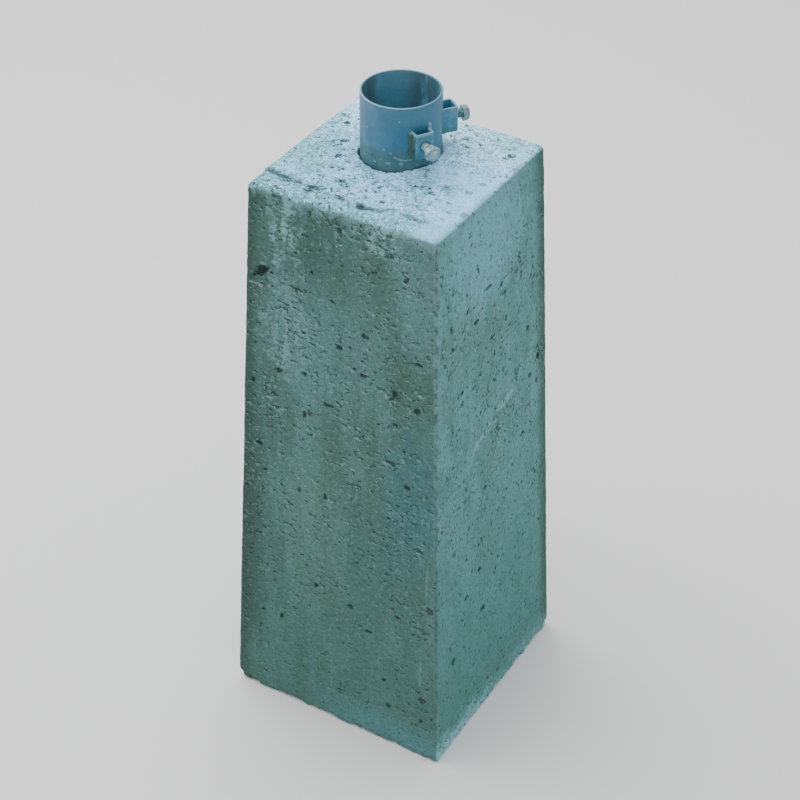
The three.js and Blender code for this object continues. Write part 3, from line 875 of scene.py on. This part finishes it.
def post_sleeve():
    """The painted pipe: an open tube given its wall, a rounded rim and the two bolt holes."""
    bpy.ops.mesh.primitive_cylinder_add(
        vertices=ROUND_SIDES,
        radius=SLEEVE_RADIUS * MM,
        depth=(SLEEVE_HIGH - SLEEVE_LOW) * MM,
        end_fill_type="NOTHING",
        location=(0.0, 0.0, 0.5 * (SLEEVE_LOW + SLEEVE_HIGH) * MM),
    )
    sleeve = added("post_sleeve_pipe")
    bpy.ops.object.transform_apply(location=True, rotation=True, scale=True)
    work(sleeve, "SOLIDIFY", thickness=SLEEVE_WALL * MM, offset=-1.0, use_even_offset=True)
    ease(sleeve, 0.6, 3, 60.0)
    for fixing in FIXINGS.values():
        drill = bar(0.5 * BOLT_HOLE, 0.0, 2.0 * SLEEVE_RADIUS)
        take(drill)
        drill.matrix_world = (
            Matrix.Translation((0.0, 0.0, fixing["height"] * MM))
            @ Matrix.Rotation(math.radians(fixing["facing"]), 4, "Z")
        )
        cut(sleeve, drill)
    settle(sleeve)
    return smooth(sleeve, 35.0)


def weld_bead(name, side, run_up):
    """A lumpy bead down the outer side of a bracket's leg."""
    dice = random.Random(name)
    half = 0.5 * BRACKET_WIDTH
    foot_at = math.sqrt(SOCKET_RADIUS ** 2 - half ** 2)
    low, high = -0.5 * BAR_WIDTH + WELD_RADIUS, 0.5 * BAR_WIDTH - WELD_RADIUS + run_up
    drops = []
    at = low
    while at <= high:
        size = WELD_RADIUS * dice.uniform(0.85, 1.1)
        out = foot_at + dice.uniform(-0.1, 0.3)
        aside = side * (half + dice.uniform(0.0, 0.4))
        bpy.ops.mesh.primitive_uv_sphere_add(
            segments=20,
            ring_count=12,
            radius=size * MM,
            location=(out * MM, aside * MM, at * MM),
        )
        drops.append(bpy.context.object)
        at += dice.uniform(1.3, 1.9)
    joined(drops)
    bpy.ops.object.transform_apply(location=True, rotation=True, scale=True)
    bead = added(name)
    work(bead, "REMESH", mode="VOXEL", voxel_size=0.4 * MM, use_smooth_shade=True)
    work(bead, "SMOOTH", factor=0.5, iterations=2)
    return bead


def bolt_bracket(name, fixing):
    """Flat bar bent to a U, drilled for the bolt, its legs ground to the sleeve and welded on."""
    middle = fixing["plate"] - 0.5 * BAR_THICK
    half = 0.5 * (BRACKET_WIDTH - BAR_THICK)
    bpy.ops.mesh.primitive_plane_add(
        size=1.0,
        location=(middle * MM, 0.0, 0.0),
        rotation=ALONG_X,
    )
    bracket = added(name)
    bracket.scale = (BAR_WIDTH * MM, 2.0 * half * MM, 1.0)
    bpy.ops.object.transform_apply(location=True, rotation=True, scale=True)
    for side in (-1.0, 1.0):
        pick(
            bracket,
            "EDGE",
            lambda a, b, side=side: min(side * a.y, side * b.y) > 0.9 * half * MM
            and min(a.x, b.x) > (middle - 0.1) * MM,
        )
        bpy.ops.mesh.extrude_region_move(
            TRANSFORM_OT_translate={"value": ((0.9 * SLEEVE_RADIUS - middle) * MM, 0.0, 0.0)}
        )
        done()
    pick(
        bracket,
        "EDGE",
        lambda a, b: abs(a.z - b.z) > 0.9 * BAR_WIDTH * MM and min(a.x, b.x) > (middle - 0.1) * MM,
    )
    bpy.ops.mesh.bevel(offset=BEND_MIDDLE * MM, segments=6, affect="EDGES")
    bpy.ops.mesh.select_all(action="SELECT")
    bpy.ops.mesh.normals_make_consistent(inside=False)
    done()
    work(bracket, "SOLIDIFY", thickness=BAR_THICK * MM, offset=0.0, use_even_offset=True)
    ease(bracket, 0.4, 2, 50.0)
    cut(bracket, bar(0.5 * BOLT_HOLE, SLEEVE_RADIUS, 2.0 * SLEEVE_RADIUS))
    bpy.ops.mesh.primitive_cylinder_add(
        vertices=ROUND_SIDES,
        radius=(SLEEVE_RADIUS + 0.02) * MM,
        depth=3.0 * BAR_WIDTH * MM,
    )
    cut(bracket, bpy.context.object)
    smooth(bracket, 35.0)
    beads = [
        weld_bead(name + "_weld_left", 1.0, fixing["run_up"]),
        weld_bead(name + "_weld_right", -1.0, 0.0),
    ]
    joined([bracket] + beads)
    return settle(bracket, fixing["facing"], 0.0, 0.0, fixing["height"])


def set_bolt():
    """One hex bolt along X, its head's end at the middle: a chamfered, dished head and a cut thread."""
    corner = HEAD_FLATS / math.sqrt(3.0)
    spare = 2.0
    bpy.ops.mesh.primitive_cylinder_add(
        vertices=6,
        radius=corner * MM,
        depth=(HEAD_THICK + spare) * MM,
        location=(0.5 * (spare - HEAD_THICK) * MM, 0.0, 0.0),
        rotation=ALONG_X,
    )
    bolt = added("set_bolt")
    bpy.ops.object.transform_apply(location=True, rotation=True, scale=True)
    ring = 0.5 * HEAD_FLATS - 0.3
    slope = 1.45
    bpy.ops.mesh.primitive_cone_add(
        vertices=72,
        radius1=(ring + slope * (HEAD_THICK + spare)) * MM,
        radius2=ring * MM,
        depth=(HEAD_THICK + spare) * MM,
        location=(-0.5 * (HEAD_THICK + spare) * MM, 0.0, 0.0),
        rotation=ALONG_X,
    )
    cut(bolt, bpy.context.object, "INTERSECT")
    pick(bolt, "FACE", lambda middle, normal: normal.x > 0.99)
    bpy.ops.mesh.inset(thickness=1.1 * MM, use_boundary=True)
    bpy.ops.mesh.inset(thickness=0.5 * MM, depth=-0.28 * MM, use_boundary=True)
    done()
    smooth(bolt, 22.0)

    shank = bar(BOLT_RADIUS - 0.5 * THREAD_DEPTH, -HEAD_THICK - BOLT_LENGTH, -HEAD_THICK + 0.3, 40)
    tip_at = (-HEAD_THICK - BOLT_LENGTH) * MM
    pick(shank, "EDGE", lambda a, b: max(a.x, b.x) < tip_at + 0.00001)
    bpy.ops.mesh.bevel(offset=BOLT_TIP * MM, segments=2, affect="EDGES")
    done()
    pick(shank, "EDGE", lambda a, b: abs(a.x - b.x) > 0.6 * BOLT_LENGTH * MM)
    bpy.ops.mesh.subdivide(number_cuts=100)
    done()

    def thread(metres):
        x, y, z = metres.scaled(METRE).axes()
        turn = y.math("ARCTAN2", y, z) / (2.0 * math.pi)
        climb = x / THREAD_PITCH + turn
        saw = climb.math("PINGPONG", climb, 0.5)
        inside = x.rise(-HEAD_THICK - BOLT_LENGTH + 0.6, -HEAD_THICK - BOLT_LENGTH + 1.6)
        inside = inside * (1.0 - x.rise(-HEAD_THICK - 1.2, -HEAD_THICK - 0.4))
        return THREAD_DEPTH * (2.0 * saw.rise(0.08, 0.42) - 1.0) * 0.5 * inside

    relief(shank, "bolt thread", thread)
    smooth(shank, 40.0)
    return joined([bolt, shank])


def cement_splashes():
    """Drops of cement that dried on the sleeve."""
    made = []
    for facing, height, wide, tall in CEMENT_DROPS:
        bpy.ops.mesh.primitive_uv_sphere_add(segments=16, ring_count=10, radius=MM)
        drop = bpy.context.object
        drop.scale = (DROP_THICK, wide, tall)
        bpy.ops.object.transform_apply(location=False, rotation=False, scale=True)
        made.append(settle(drop, facing, 0.0, SLEEVE_RADIUS + 0.1, TOP_AT + height))
    joined(made)
    splashes = added("cement_splashes")
    relief(splashes, "splash lumps", lambda metres: 0.9 * (metres.scaled(METRE).cloud(1.3, 2.0) - 0.5))
    return smooth(splashes, 80.0)


concrete = finish("rough grey-green concrete", concrete_inputs)
blue_paint = finish("blue sleeve paint", sleeve_inputs)
bar_paint = finish("blue bracket paint", bracket_inputs)
zinc = finish("dull zinc", zinc_inputs)
cement = finish("dried cement", cement_inputs)

finished(concrete_casting(), "block", ["concrete_block"], concrete)
finished(post_sleeve(), "block", ["post_sleeve"], blue_paint)
finished(cement_splashes(), "block", [], cement)
for side, fixing in FIXINGS.items():
    bracket = bolt_bracket("bolt_bracket_" + side + "_bar", fixing)
    finished(bracket, "block", ["bolt_bracket_" + side], bar_paint)
pattern = set_bolt()
for side, fixing in FIXINGS.items():
    bolt = bpy.data.objects.new("set_bolt_" + side + "_hex", pattern.data.copy())
    bpy.context.scene.collection.objects.link(bolt)
    settle(bolt, fixing["facing"], fixing["turn"], fixing["bolt_end"], fixing["height"])
    finished(bolt, side + "_bolt", ["set_bolt_" + side], zinc)
bpy.data.objects.remove(pattern)


# The studio: a pale floor, a soft sky and one large soft lamp overhead

bpy.ops.mesh.primitive_plane_add(size=FLOOR_WIDTH, location=(0.0, 0.0, -FLOOR_UNDER))
floor = added("studio_floor")
floor.data.materials.append(finish("pale studio floor", floor_inputs))

sky = bpy.data.worlds.new("soft studio sky")
sky.use_nodes = True
light = sky.node_tree.nodes["Background"]
light.inputs["Color"].default_value = (1.0, 1.0, 1.0, 1.0)
light.inputs["Strength"].default_value = SKY_STRENGTH
bpy.context.scene.world = sky


def soft_lamp(name, at, aim, size, power):
    lamp = bpy.data.lights.new(name, "AREA")
    lamp.shape = "DISK"
    lamp.size = size
    lamp.energy = power
    holder = bpy.data.objects.new(name, lamp)
    bpy.context.scene.collection.objects.link(holder)
    holder.location = at
    holder.rotation_mode = "QUATERNION"
    holder.rotation_quaternion = (Vector(aim) - Vector(at)).to_track_quat("-Z", "Y")


soft_lamp("overhead lamp", LAMP_AT, LAMP_AIM, LAMP_WIDTH, LAMP_POWER)

yaw, pitch, roll = (math.radians(angle) for angle in (VIEW_YAW, VIEW_PITCH, VIEW_ROLL))
back = Vector((math.sin(yaw) * math.cos(pitch), -math.cos(yaw) * math.cos(pitch), math.sin(pitch)))
aside = Vector((math.cos(yaw), math.sin(yaw), 0.0))
above = back.cross(aside)
level = aside * math.cos(roll) + above * math.sin(roll)
upright = above * math.cos(roll) - aside * math.sin(roll)
camera = bpy.data.objects.new("photo camera", bpy.data.cameras.new("photo camera"))
bpy.context.scene.collection.objects.link(camera)
camera.data.lens = LENS
camera.data.sensor_width = SENSOR
camera.data.clip_end = 50.0
camera.location = (aside * VIEW_ASIDE + Vector((0.0, 0.0, VIEW_HEIGHT)) + back * VIEW_DISTANCE) * MM
camera.rotation_mode = "QUATERNION"
camera.rotation_quaternion = Matrix((level, upright, back)).transposed().to_quaternion()
bpy.context.scene.camera = camera
